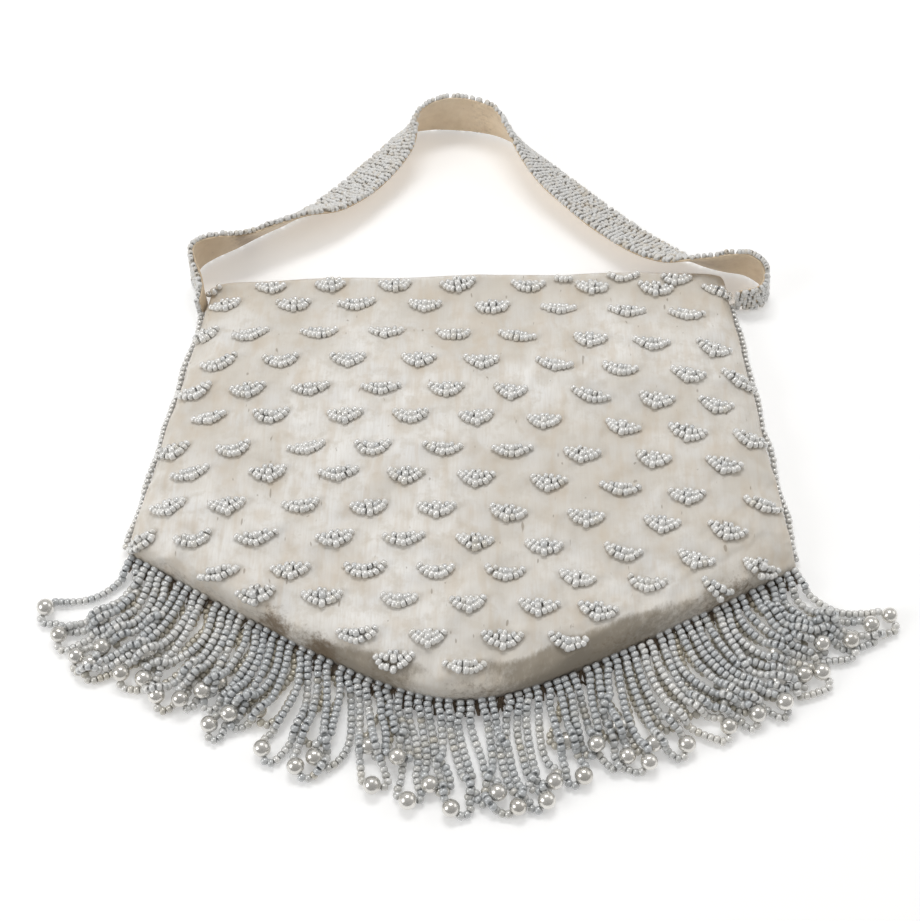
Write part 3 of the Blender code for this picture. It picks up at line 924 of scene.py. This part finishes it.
# each row of a motif from its middle to its right end: right, up and size of each bead
motifPatterns = {
    "full": [[(0.0, -0.75, 1.15), (1.5, -0.1, 1.0), (2.75, 0.35, 1.0), (3.75, 1.15, 0.97), (4.5, 2.2, 0.95)],
             [(0.0, 1.2, 1.22), (1.75, 1.6, 0.95), (2.9, 2.2, 0.92)],
             [(0.75, 2.7, 0.88)]],
    "open": [[(0.0, -0.3, 1.05), (1.4, 0.0, 1.0), (2.7, 0.45, 1.0), (3.8, 1.3, 0.97), (4.5, 2.4, 0.95)],
             [(0.0, 1.55, 1.15), (1.4, 1.7, 0.95), (2.6, 2.1, 0.92)]],
    "slim": [[(0.0, 0.0, 1.08), (1.45, 0.25, 1.0), (2.8, 0.65, 1.0), (3.95, 1.2, 0.97), (4.9, 1.9, 0.95)],
             [(0.0, 1.8, 1.1), (1.3, 1.9, 0.92), (2.6, 2.1, 0.9)]],
}


def wholeMotif(rows):
    beads = []
    for half in rows:
        beads += [(-right, up, size) for right, up, size in reversed(half) if right > 0] + half
    return np.array(beads)


def dropOn(tree, x, y):
    return tree.ray_cast(Vector(toFrame((x, y, motif["above"]))), Vector((0, 0, -1)))[:2]


def makeMotifs():
    dice = np.random.default_rng(11)
    tree = treeOf(frontSheet)
    beads = []
    for x, y in motifSpots:
        top = dropOn(tree, x, y)[0].z / millimetre
        turn = motif["turnPerMillimetre"] * x + dice.normal(0, 0.06)
        grow = dice.normal(1.0, 0.035)
        pattern = wholeMotif(motifPatterns[dice.choice(["full", "full", "open", "slim"])])
        cos, sin = math.cos(turn), math.sin(turn)
        right, up = (pattern[:, :2] * grow + dice.normal(0, 0.09, (len(pattern), 2))).T
        places = np.column_stack([x + (right * cos - up * sin), y + (right * sin + up * cos)])
        for number, (place, (fromMiddle, _, size)) in enumerate(zip(places, pattern)):
            spot, normal = dropOn(tree, *place)
            if spot is None or normal.z < motif["steepest"]:
                continue
            if top - spot.z / millimetre > motif["furthestDrop"]:
                continue
            if mouthPoint(place[0] / (pouch["mouthWidth"] / 2))[1] - place[1] < motif["mouthMargin"]:
                continue
            normal = np.array(normal)
            outer = number < motif["outerBeads"]
            height = motif["lift"] * size + (0.0 if outer else motif["pile"])
            slope = 0.0 if size > motif["wide"] else (0.25 if outer else 0.1) * fromMiddle
            way = np.array([cos - slope * sin, sin + slope * cos, 0.0]) + dice.normal(0, 0.12, 3)
            beads.append((np.array(spot) / millimetre - mouthMiddle + normal * height,
                          way - normal * way.dot(normal), motif["grow"] * size * dice.normal(1.0, 0.03),
                          dice.uniform(0.0, 0.35) + (0.0 if outer else 0.15)))
    agesAndShade = np.clip(dice.normal(0.16, 0.12, len(beads)), 0, 1)
    item = joinCopies("motifBeads", beadShape, *zip(*beads), agesAndShade, 12)
    print("motifs:", len(beads), "beads")
    finishPiece(item, beadMaterial, "seed_beads")


makeMotifs()


# fringe: looped strands that are let down on the table and each other

fringe = {
    "beadScale": 1.07,
    "beadWidth": 1.12,
    "pearlHalf": 2.35,
    "strandGap": 2.6,
    "bend": 0.56,             # where a strand turns down, as a share of its way
    "upperStart": (0.2, 3.9),  # the first bead of a strand, out from the seam, and its height
    "lowerStart": (1.1, 2.0),
    "steep": 0.20,            # how much of its lean a strand has where it leaves the seam
    "turnWidth": 5.0,
    "pinned": 4,              # beads at each end that keep the way they leave the seam
    "sway": 0.5,
    "pearlTones": (0.4, 0.2),
}
# where each loop's pearl lies, from left to right, in millimetres from the mouth's middle
upperPearls = [
    (-114, -113), (-109, -121), (-104, -127), (-97, -124), (-91, -132), (-84, -134), (-74, -140), (-68, -137),
    (-66, -146), (-61, -143), (-51, -152), (-42, -157), (-36, -154), (-21, -162), (-15, -154), (-11, -165),
    (-7, -161), (-1, -167), (11, -162), (17, -166), (23, -164), (26, -160), (34, -158), (38, -149),
    (45, -152), (51, -153), (61, -148), (72, -142), (80, -139), (87, -135), (93, -127), (98, -126),
    (99, -118), (106, -118), (113, -112), (118, -109),
]
# how far the loops that gape are open
openLoops = {0: 3.0, 1: 1.3, 10: 1.5, 12: 1.6, 15: 1.4, 17: 1.5, 20: 1.6, 24: 1.5, 27: 1.3, 34: 1.3, 35: 1.8}
# loops that lie under the others: their place among the upper ones, and their pearl
lowerPearls = [
    (1.4, (-98, -116)), (2.5, (-92, -120)), (3.0, (-99, -129)), (4.4, (-84, -126)), (5.5, (-80, -138)),
    (6.4, (-71, -131)), (7.5, (-64, -134)), (8.6, (-58, -138)), (9.6, (-53, -141)), (11.4, (-41, -146)),
    (14.0, (-23, -150)), (22.5, (29, -148)), (24.4, (43, -143)),
    (25.5, (52, -148)), (26.5, (58, -140)), (27.5, (64, -136)), (28.5, (72, -133)), (29.5, (78, -134)),
    (30.6, (86, -129)), (31.5, (86, -121)), (32.6, (94, -116)), (33.6, (100, -112)),
]


def evenly(path, lengths):
    # places along a path at given distances from its start
    along = distances(path)
    return np.column_stack([np.interp(lengths, along, path[:, i]) for i in range(path.shape[1])])


def pathLength(path):
    return float(np.linalg.norm(np.diff(path, axis=0), axis=1).sum())


def layLoop(across, end, side, upper, level, gape, dice):
    # the first lie of one loop: the outer strand runs to the pearl, the inner one swings round to it
    along, out = seamFrame(across)
    foot = seamPoint(across)
    way = end - foot
    lean = fringe["steep"] * math.atan2(way[0], -way[1])
    bend = foot + fringe["bend"] * np.linalg.norm(way) * np.array([math.sin(lean), -math.cos(lean)])

    def lane(share, offset):
        spot = (1 - share) ** 2 * foot + 2 * share * (1 - share) * bend + share ** 2 * end
        ahead = (1 - share) * (bend - foot) + share * (end - bend)
        ahead /= np.linalg.norm(ahead)
        return spot + side * offset * np.array([-ahead[1], ahead[0]]) + dice.normal(0, fringe["sway"], 2)

    pitch = pouch["beadPitch"] * fringe["beadScale"]
    half = side * fringe["strandGap"] / 2
    foot = foot + along * dice.uniform(-0.8, 0.8)
    bend = bend + side * dice.uniform(-3.6, 2.2) * along
    firstOut, firstHeight = fringe["upperStart" if upper else "lowerStart"]
    firstOut += dice.uniform(-0.2, 0.6)
    width = fringe["turnWidth"] * dice.uniform(0.8, 1.15)
    outer = [foot + half * along + out * (firstOut + step) for step in (0.0, pitch)]
    outer += [lane(0.30, 1.3), lane(0.60, 1.3), lane(0.86, 1.5), end]
    inner = [foot - half * along + out * (firstOut + step) for step in (0.0, pitch)]
    inner += [lane(0.30, -1.5 * gape), lane(0.58, -2.6 * gape), lane(0.80, -0.45 * width * (1 + gape)),
              lane(0.94, -width), lane(1.02, -0.55 * width), end]
    base = 1.3 + (1.2 + 0.9 * level if upper else 0.0)
    strands, counts = [], []
    for corners in (outer, inner):
        path = smoothRows(np.array(corners), 8)
        length = pathLength(path)
        rest = length - fringe["pearlHalf"] - pitch / 2
        count = int(round(rest / pitch)) + 1
        places = evenly(path, np.arange(count) * rest / (count - 1))
        height = base + (firstHeight - base) * np.exp(-np.arange(count) * 0.32)
        strands.append(np.column_stack([places, height]))
        counts.append(count)
    pearl = np.array([[end[0], end[1], base + 1.4]])
    return np.concatenate([strands[0], pearl, strands[1][::-1]]), counts


def shiftPairs(points, firm, first, second, wanted, onlyApart):
    # how far each point moves to bring its pairs to their wanted distance, and how many pairs are too close
    apart = points[second] - points[first]
    gap = np.linalg.norm(apart, axis=1)
    push = (gap - wanted) / np.maximum(gap, 1e-6)
    if onlyApart:
        push = np.minimum(push, 0.0)
    move = apart * (push / np.maximum(firm[first] + firm[second], 1e-6))[:, None]
    shift, hits = np.zeros_like(points), np.zeros(len(points))
    for way, side in ((1.0, first), (-1.0, second)):
        np.add.at(shift, side, way * move * firm[side][:, None])
        np.add.at(hits, side[push < 0], 1)
    return shift, hits


def pairsNearby(points, sizes, owner):
    tree = KDTree(len(points))
    for index, point in enumerate(points):
        tree.insert(point, index)
    tree.balance()
    found = []
    for index, point in enumerate(points):
        for _, other, _ in tree.find_range(point, sizes[index] + settling["nearby"]):
            if other > index and not (owner[other] == owner[index] and other - index < 3):
                found.append((index, other))
    return np.array(found)


settling = {
    "rounds": 190,
    "sink": 0.05,             # millimetres a round
    "pull": 0.12,             # of each pearl towards its place, through the first rounds
    "pulled": 0.7,
    "nearby": 1.9,
    "tight": 0.97,
    "thread": 0.5,            # how much of each correction is made in a round
    "stiffness": 0.225,
    "rideOver": 0.4,
    "contact": 1.2,
    "clearance": 1.05,
}


def settleFringe(lies, counts, wanted, isUpper):
    # beads keep their distance along the thread, can't pass through each other and sink to the table
    points = np.concatenate(lies)
    total = len(points)
    starts = np.concatenate([[0], np.cumsum([a + b + 1 for a, b in counts])])
    owner = np.repeat(np.arange(len(counts)), np.diff(starts))
    pearls = starts[:-1] + np.array([a for a, _ in counts])
    isPearl = np.zeros(total, bool)
    isPearl[pearls] = True
    bead = pouch["beadWidth"] / 2 * fringe["beadWidth"]
    sizes = np.where(isPearl, pouch["pearlWidth"] / 2, bead) * settling["tight"]
    pinned = np.zeros(total, bool)
    for step in range(fringe["pinned"]):
        pinned[starts[:-1] + step] = True
        pinned[starts[1:] - 1 - step] = True
    firm = np.where(pinned, 0.0, 1.0)
    near = np.nonzero(owner[1:] == owner[:-1])[0]
    half = np.where(isPearl, fringe["pearlHalf"], pouch["beadPitch"] * fringe["beadScale"] / 2)
    linkLength = half[near] + half[near + 1]
    far = np.nonzero(owner[2:] == owner[:-2])[0]
    straight = half[far] + 2 * half[far + 1] + half[far + 2]
    fromTop = np.concatenate([np.minimum(np.arange(n), np.arange(n)[::-1]) for n in np.diff(starts)])
    # the thread bends least at a pearl and near the seam
    stiff = straight * np.where(isPearl[far + 1], 0.985, np.where(fromTop[far + 1] < 8, 0.99, 0.967))
    upperBead = isUpper[owner]
    rest = points.copy()
    for number in range(settling["rounds"]):
        points[:, 2] -= settling["sink"] * firm
        if number < settling["pulled"] * settling["rounds"]:
            points[pearls, :2] += settling["pull"] * (wanted - points[pearls, :2])
        points += settling["thread"] * shiftPairs(points, firm, near, near + 1, linkLength, False)[0]
        points += settling["stiffness"] * shiftPairs(points, firm, far, far + 2, stiff, True)[0]
        if number % 4 == 0:
            pairs = pairsNearby(points, sizes, owner)
        # an upper strand is lifted over a lower one
        mixed = upperBead[pairs[:, 0]] != upperBead[pairs[:, 1]]
        over = np.where(upperBead[pairs[mixed, 0]], pairs[mixed, 0], pairs[mixed, 1])
        under = pairs[mixed].sum(axis=1) - over
        flat = np.hypot(*(points[over, :2] - points[under, :2]).T)
        reach = sizes[over] + sizes[under]
        needed = points[under, 2] + np.sqrt(np.maximum(reach ** 2 - flat ** 2, 0.0))
        lift = np.zeros(total)
        np.maximum.at(lift, over, np.where(flat < reach, needed - points[over, 2], 0.0))
        points[:, 2] += settling["rideOver"] * lift * firm
        first, second = pairs[~mixed].T
        shift, hits = shiftPairs(points, firm, first, second, sizes[first] + sizes[second], True)
        points += shift / np.maximum(hits, 1)[:, None] * settling["contact"]
        points[:, 2] = np.maximum(points[:, 2], sizes / settling["tight"] * settling["clearance"])
        points[pinned] = rest[pinned]
    return points, owner, isPearl


def makeFringe():
    dice = np.random.default_rng(21)
    count = len(upperPearls)
    shares = [(number + 0.5) / count for number in range(count)]
    shares += [(place + 0.5) / count for place, _ in lowerPearls]
    isUpper = np.arange(len(shares)) < count
    places = seamPlaces(shares)
    ends = np.array(upperPearls + [end for _, end in lowerPearls], float)
    lies, counts = [], []
    for number, (across, end, upper) in enumerate(zip(places, ends, isUpper)):
        side = math.copysign(1.0, end[0] - 5.0)
        gape = openLoops.get(number, 1.0)
        lie, beads = layLoop(across, end, side, upper, number % 2, gape, dice)
        lies.append(lie)
        counts.append(beads)
    points, owner, isPearl = settleFringe(lies, counts, ends, isUpper)
    axes = np.zeros_like(points)
    heights = np.zeros(len(points))
    for loop in range(len(counts)):
        own = np.nonzero(owner == loop)[0]
        axes[own] = np.gradient(points[own], axis=0)
        heights[own] = np.linalg.norm(axes[own], axis=1) / pouch["beadPitch"]
    heights = np.clip(heights, 1.0, 1.25)
    lower = ~isUpper[owner]
    low = np.clip(1 - (points[:, 2] - 1.0) / 2.6, 0, 1)
    fromSeam = -points[:, 1] + seamPoint(points[:, 0] / (pouch["cornerWidth"] / 2))[:, 1]
    hidden = lower * np.exp(-np.clip(fromSeam, 0, None) / 7)
    loopTone = dice.normal(0, 0.13, len(counts))[owner]
    # painted shade: beads in the middle of the fringe lean to the darker cool grey
    middle = hump(points[:, 0], 4, 45)
    tones = np.clip(0.68 + 0.28 * middle - 0.25 * low + loopTone + dice.normal(0, 0.12, len(points)), 0, 1)
    # painted shade along with some age: beads low on the table and in the lower loops are warmer and darker,
    # and lower strands hidden near the seam go dark brown
    agesAndShade = np.clip(0.10 + 0.24 * low + 0.9 * hidden + 0.30 * lower + dice.normal(0, 0.10, len(points)), 0, 2)
    for name, chosen in (("fringeUpper", ~isPearl & ~lower), ("fringeLower", ~isPearl & lower)):
        wide = fringe["beadWidth"] * np.clip(dice.normal(1.0, 0.03, chosen.sum()), 0.92, 1.04)
        sizes = np.column_stack([wide, wide, heights[chosen]])
        item = joinCopies(name, beadShape, points[chosen], axes[chosen], sizes, tones[chosen], agesAndShade[chosen],
                          22)
        finishPiece(item, beadMaterial, "seed_beads", *(["fringe"] if name == "fringeUpper" else []))
    pearlTones = np.clip(dice.normal(*fringe["pearlTones"], isPearl.sum()), 0, 1)
    pearlSizes = pouch["pearlWidth"] / 2 * dice.normal(1.0, 0.02, isPearl.sum())
    item = joinCopies("fringePearls", pearlShape, points[isPearl], axes[isPearl], pearlSizes, pearlTones,
                      pearlTones * 0.6, 23)
    finishPiece(item, pearlMaterial, "pearls")
    print("fringe:", len(points) - isPearl.sum(), "beads,", isPearl.sum(), "pearls, lowest",
          round(points[:, 2].min(), 2), "highest", round(points[:, 2].max(), 2))


makeFringe()


seamStitchesAndShadow = {
    "thread": 0.30,           # half the thickness, in millimetres
    "perLoop": 12,
    "frayed": 30,
    "lengths": (1.4, 2.4),
    "frayedLengths": (0.4, 0.8),
    "thickest": (0.8, 1.5),
}


def makeSeamStitchesAndShadow():
    # short dark brown stitches over the satin's edge between the strands, and a few frayed ends; their dark
    # brown also stands in for the shadow between the strand tops
    dice = np.random.default_rng(25)
    count = len(upperPearls) * seamStitchesAndShadow["perLoop"]
    shares = (np.arange(count) + 0.5) / count
    places = seamPlaces(np.concatenate([shares, dice.uniform(0.04, 0.96, seamStitchesAndShadow["frayed"])]))
    stitches = []
    for number, across in enumerate(places):
        along, out = seamFrame(across)
        frayed = number >= count
        length = dice.uniform(*seamStitchesAndShadow["frayedLengths" if frayed else "lengths"])
        foot = seamPoint(across) + along * dice.normal(0, 0.3) + out * (-0.6 if frayed else 0.75 * length)
        lean = dice.normal(0, 0.9 if frayed else 0.3)
        way = np.array([*(out * dice.uniform(0.5, 1.0) + along * lean), 0.5 if frayed else -0.40])
        thick = seamStitchesAndShadow["thread"] * (0.4 if frayed else dice.uniform(*seamStitchesAndShadow["thickest"]))
        stitches.append(((*foot, 4.6 if frayed else 2.9 - 0.35 * length), way, (thick, thick, length)))
    tones = dice.uniform(0, 1, len(places))
    item = joinCopies("seamStitchesAndShadow", stitchShape, *zip(*stitches), tones, tones, 26)
    finishPiece(item, threadAndShadowMaterial, "satin")


makeSeamStitchesAndShadow()


# strap, and the strings of beads along the side seams

strap = {
    "width": 17.3,
    "rise": 66.0,
    "seat": 9.0,
    "thickness": 2.6,
    "endWidth": 0.55,
    "rowPitch": 1.34,
    "beadsAcross": 12,
    "tapeThickness": 0.6,
    "tapeInset": 1.25,
    "tapeEdge": 0.2,
    "tapeDepth": 0.70,        # how far the tape lies behind its beads' rows
    "tapeStep": 0.9,
    "tapeColumns": 8,
    "beadSize": 0.84,
    "beadLift": 0.26,
    "missing": 0.02,
}
# lower edge of the strap: across in half mouths, away in rises, lean in degrees, width as a share
strapRoute = [
    (-1.086, 0.000, 86, 1), (-1.078, 0.085, 82, 1), (-1.022, 0.155, 75, 1), (-0.930, 0.232, 61, 1),
    (-0.825, 0.322, 56, 1), (-0.722, 0.408, 49, 1), (-0.628, 0.508, 33, 1), (-0.530, 0.640, 26, 1),
    (-0.405, 0.820, 32, 1), (-0.300, 0.958, 57, 1), (-0.190, 0.998, 80, 1), (-0.069, 1.000, 90, 1),
    (0.068, 0.978, 84, 1), (0.145, 0.946, 72, 1), (0.225, 0.878, 58, 1), (0.352, 0.742, 37, 1),
    (0.479, 0.600, 29, 1), (0.623, 0.443, 26, 1), (0.738, 0.325, 29, 1), (0.850, 0.232, 38, 1),
    (0.935, 0.172, 58, 1), (1.012, 0.142, 71, 1), (1.095, 0.118, 76, 1), (1.162, 0.050, 78, 0.95),
    (1.166, -0.025, 82, 0.80), (1.128, -0.075, 86, 0.66),
]


def strapRows():
    rows = []
    seat = 0.6 + strap["thickness"] / 2
    for share in (1.0, 0.5):
        x, y = sidePoint(-1.0, strap["seat"] * share)
        rows.append([x - seat, y, 90, strap["endWidth"] + (1 - strap["endWidth"]) * (1 - share)])
    for across, away, lean, width in strapRoute:
        rows.append([across * pouch["mouthWidth"] / 2, away * strap["rise"], lean, width])
    x, y = sidePoint(1.0, strap["seat"])
    rows.append([x + seat, y, 90, strap["endWidth"]])
    return np.array(rows, float)


def strapLine(pitch):
    # the strap's low edge, its way up and its way out, at even steps along it
    rows = smoothRows(strapRows(), 12)
    length = distances(rows[:, :2])
    count = int(round(length[-1] / pitch)) + 1
    even = np.linspace(0, length[-1], count)
    rows = np.column_stack([np.interp(even, length, rows[:, i]) for i in range(4)])
    along = np.gradient(rows[:, :2], axis=0)
    along /= np.linalg.norm(along, axis=1, keepdims=True)
    angle = np.radians(np.minimum(rows[:, 2], 90))[:, None]
    inward = np.column_stack([along[:, 1], -along[:, 0], np.zeros(count)])
    upward = np.array([[0.0, 0.0, 1.0]])
    up = np.cos(angle) * inward + np.sin(angle) * upward
    out = np.cos(angle) * upward - np.sin(angle) * inward
    low = np.column_stack([rows[:, :2], strap["thickness"] / 2 * np.cos(angle[:, 0])])
    ahead = np.column_stack([along, np.zeros(count)])
    return even, low, up, out, ahead, rows[:, 3] * strap["width"]


edgeString = {
    "out": 1.25,
    "height": 1.9,
    "wave": 0.35,
    "beadSize": 0.97,
    "cornerGap": 2.5,
}


def makeEdgeStrings():
    dice = np.random.default_rng(31)
    for side, name, node in ((-1.0, "edgeStringLeft", "edge_beads_left"),
                             (1.0, "edgeStringRight", "edge_beads_right")):
        last = pouch["sideDrop"] + mouthPoint(side)[1] - edgeString["cornerGap"]
        drops = [strap["seat"] + 0.5]
        while drops[-1] < last:
            drops.append(drops[-1] + pouch["beadPitch"] * (1.02 + max(0.0, dice.normal(0.05, 0.16))))
        drops = np.array(drops[:-1])
        sway = edgeString["wave"] * np.sin(drops * 0.31 + side) + dice.normal(0, 0.10, len(drops))
        places = sidePoint(side, drops)
        places[:, 0] += side * (edgeString["out"] + sway)
        height = edgeString["height"] + edgeString["wave"] * np.sin(drops * 0.23 + 0.5)
        places = np.column_stack([places, height])
        tones = dice.uniform(0.0, 0.4, len(drops))
        agesAndShade = np.clip(dice.normal(0.15, 0.12, len(drops)), 0, 1)
        sizes = dice.normal(edgeString["beadSize"], 0.03, len(drops))
        item = joinCopies(name, beadShape, places, np.gradient(places, axis=0), sizes, tones, agesAndShade, 32)
        finishPiece(item, beadMaterial, "seed_beads", node)


makeEdgeStrings()
print("edge strings are ready")


def makeTape():
    even, low, up, out, _, width = strapLine(strap["tapeStep"])
    tape = addPrimitive("grid", x_subdivisions=len(even) - 1, y_subdivisions=strap["tapeColumns"], size=1)
    tape.name = tape.data.name = "strapTape"
    points = readPoints(tape)
    step = np.rint((points[:, 0] + 0.5) * (len(even) - 1)).astype(int)
    share = points[:, 1] + 0.5
    inset = strap["tapeInset"] + share * (width[step] - 2 * strap["tapeInset"])
    cup = 0.15 * np.sin(share * math.pi) + 0.08 * np.sin(even[step] * 0.35 + share * 2)
    built = low[step] + up[step] * inset[:, None] + out[step] * (cup - strap["tapeDepth"])[:, None]
    writePoints(tape, toFrame(built))
    thicken(tape, strap["tapeThickness"], offset=0.0, edge=strap["tapeEdge"])
    inEditMode(tape, bpy.ops.mesh.normals_make_consistent)
    bpy.ops.object.shade_smooth_by_angle(angle=math.radians(45))
    across = readPoints(tape)[:, 0] / millimetre - mouthMiddle[0]
    writeAttribute(tape, "dirtAndShade", 0.8 * hump(across, -70, 3.5) + 0.3 * hump(across, 3, 5))
    return finishPiece(tape, liningMaterial, "satin", "strap")


def makeStrapBeads():
    # rows of beads across the tape, each with its hole along the strap
    dice = np.random.default_rng(41)
    even, low, up, out, ahead, width = strapLine(strap["rowPitch"])
    beads = []
    for row in range(len(even)):
        count = max(3, int(round(strap["beadsAcross"] * width[row] / strap["width"])))
        skew = dice.normal(0, 0.25)
        for number in range(count):
            if dice.random() < strap["missing"]:
                continue
            share = (number + 0.5 + dice.normal(0, 0.06)) / count
            lift = strap["beadLift"] + dice.normal(0, 0.05)
            place = (low[row] + up[row] * (0.5 + share * (width[row] - 1.0)) + out[row] * lift
                     + ahead[row] * (skew * (share - 0.5) * 2 + dice.normal(0, 0.20)))
            way = ahead[row] + up[row] * dice.normal(0, 0.40) + out[row] * dice.normal(0, 0.12)
            beads.append((place, way, dice.normal(strap["beadSize"], 0.05), dice.uniform(0.0, 0.35),
                          np.clip(dice.normal(0.30, 0.14), 0, 1)))
    item = joinCopies("strapBeads", smallBeadShape, *zip(*beads), 42)
    finishPiece(item, strapBeadMaterial, "seed_beads")
    print("strap:", len(beads), "beads, length", round(float(even[-1]), 1), "mm")


strapTape = makeTape()
makeStrapBeads()
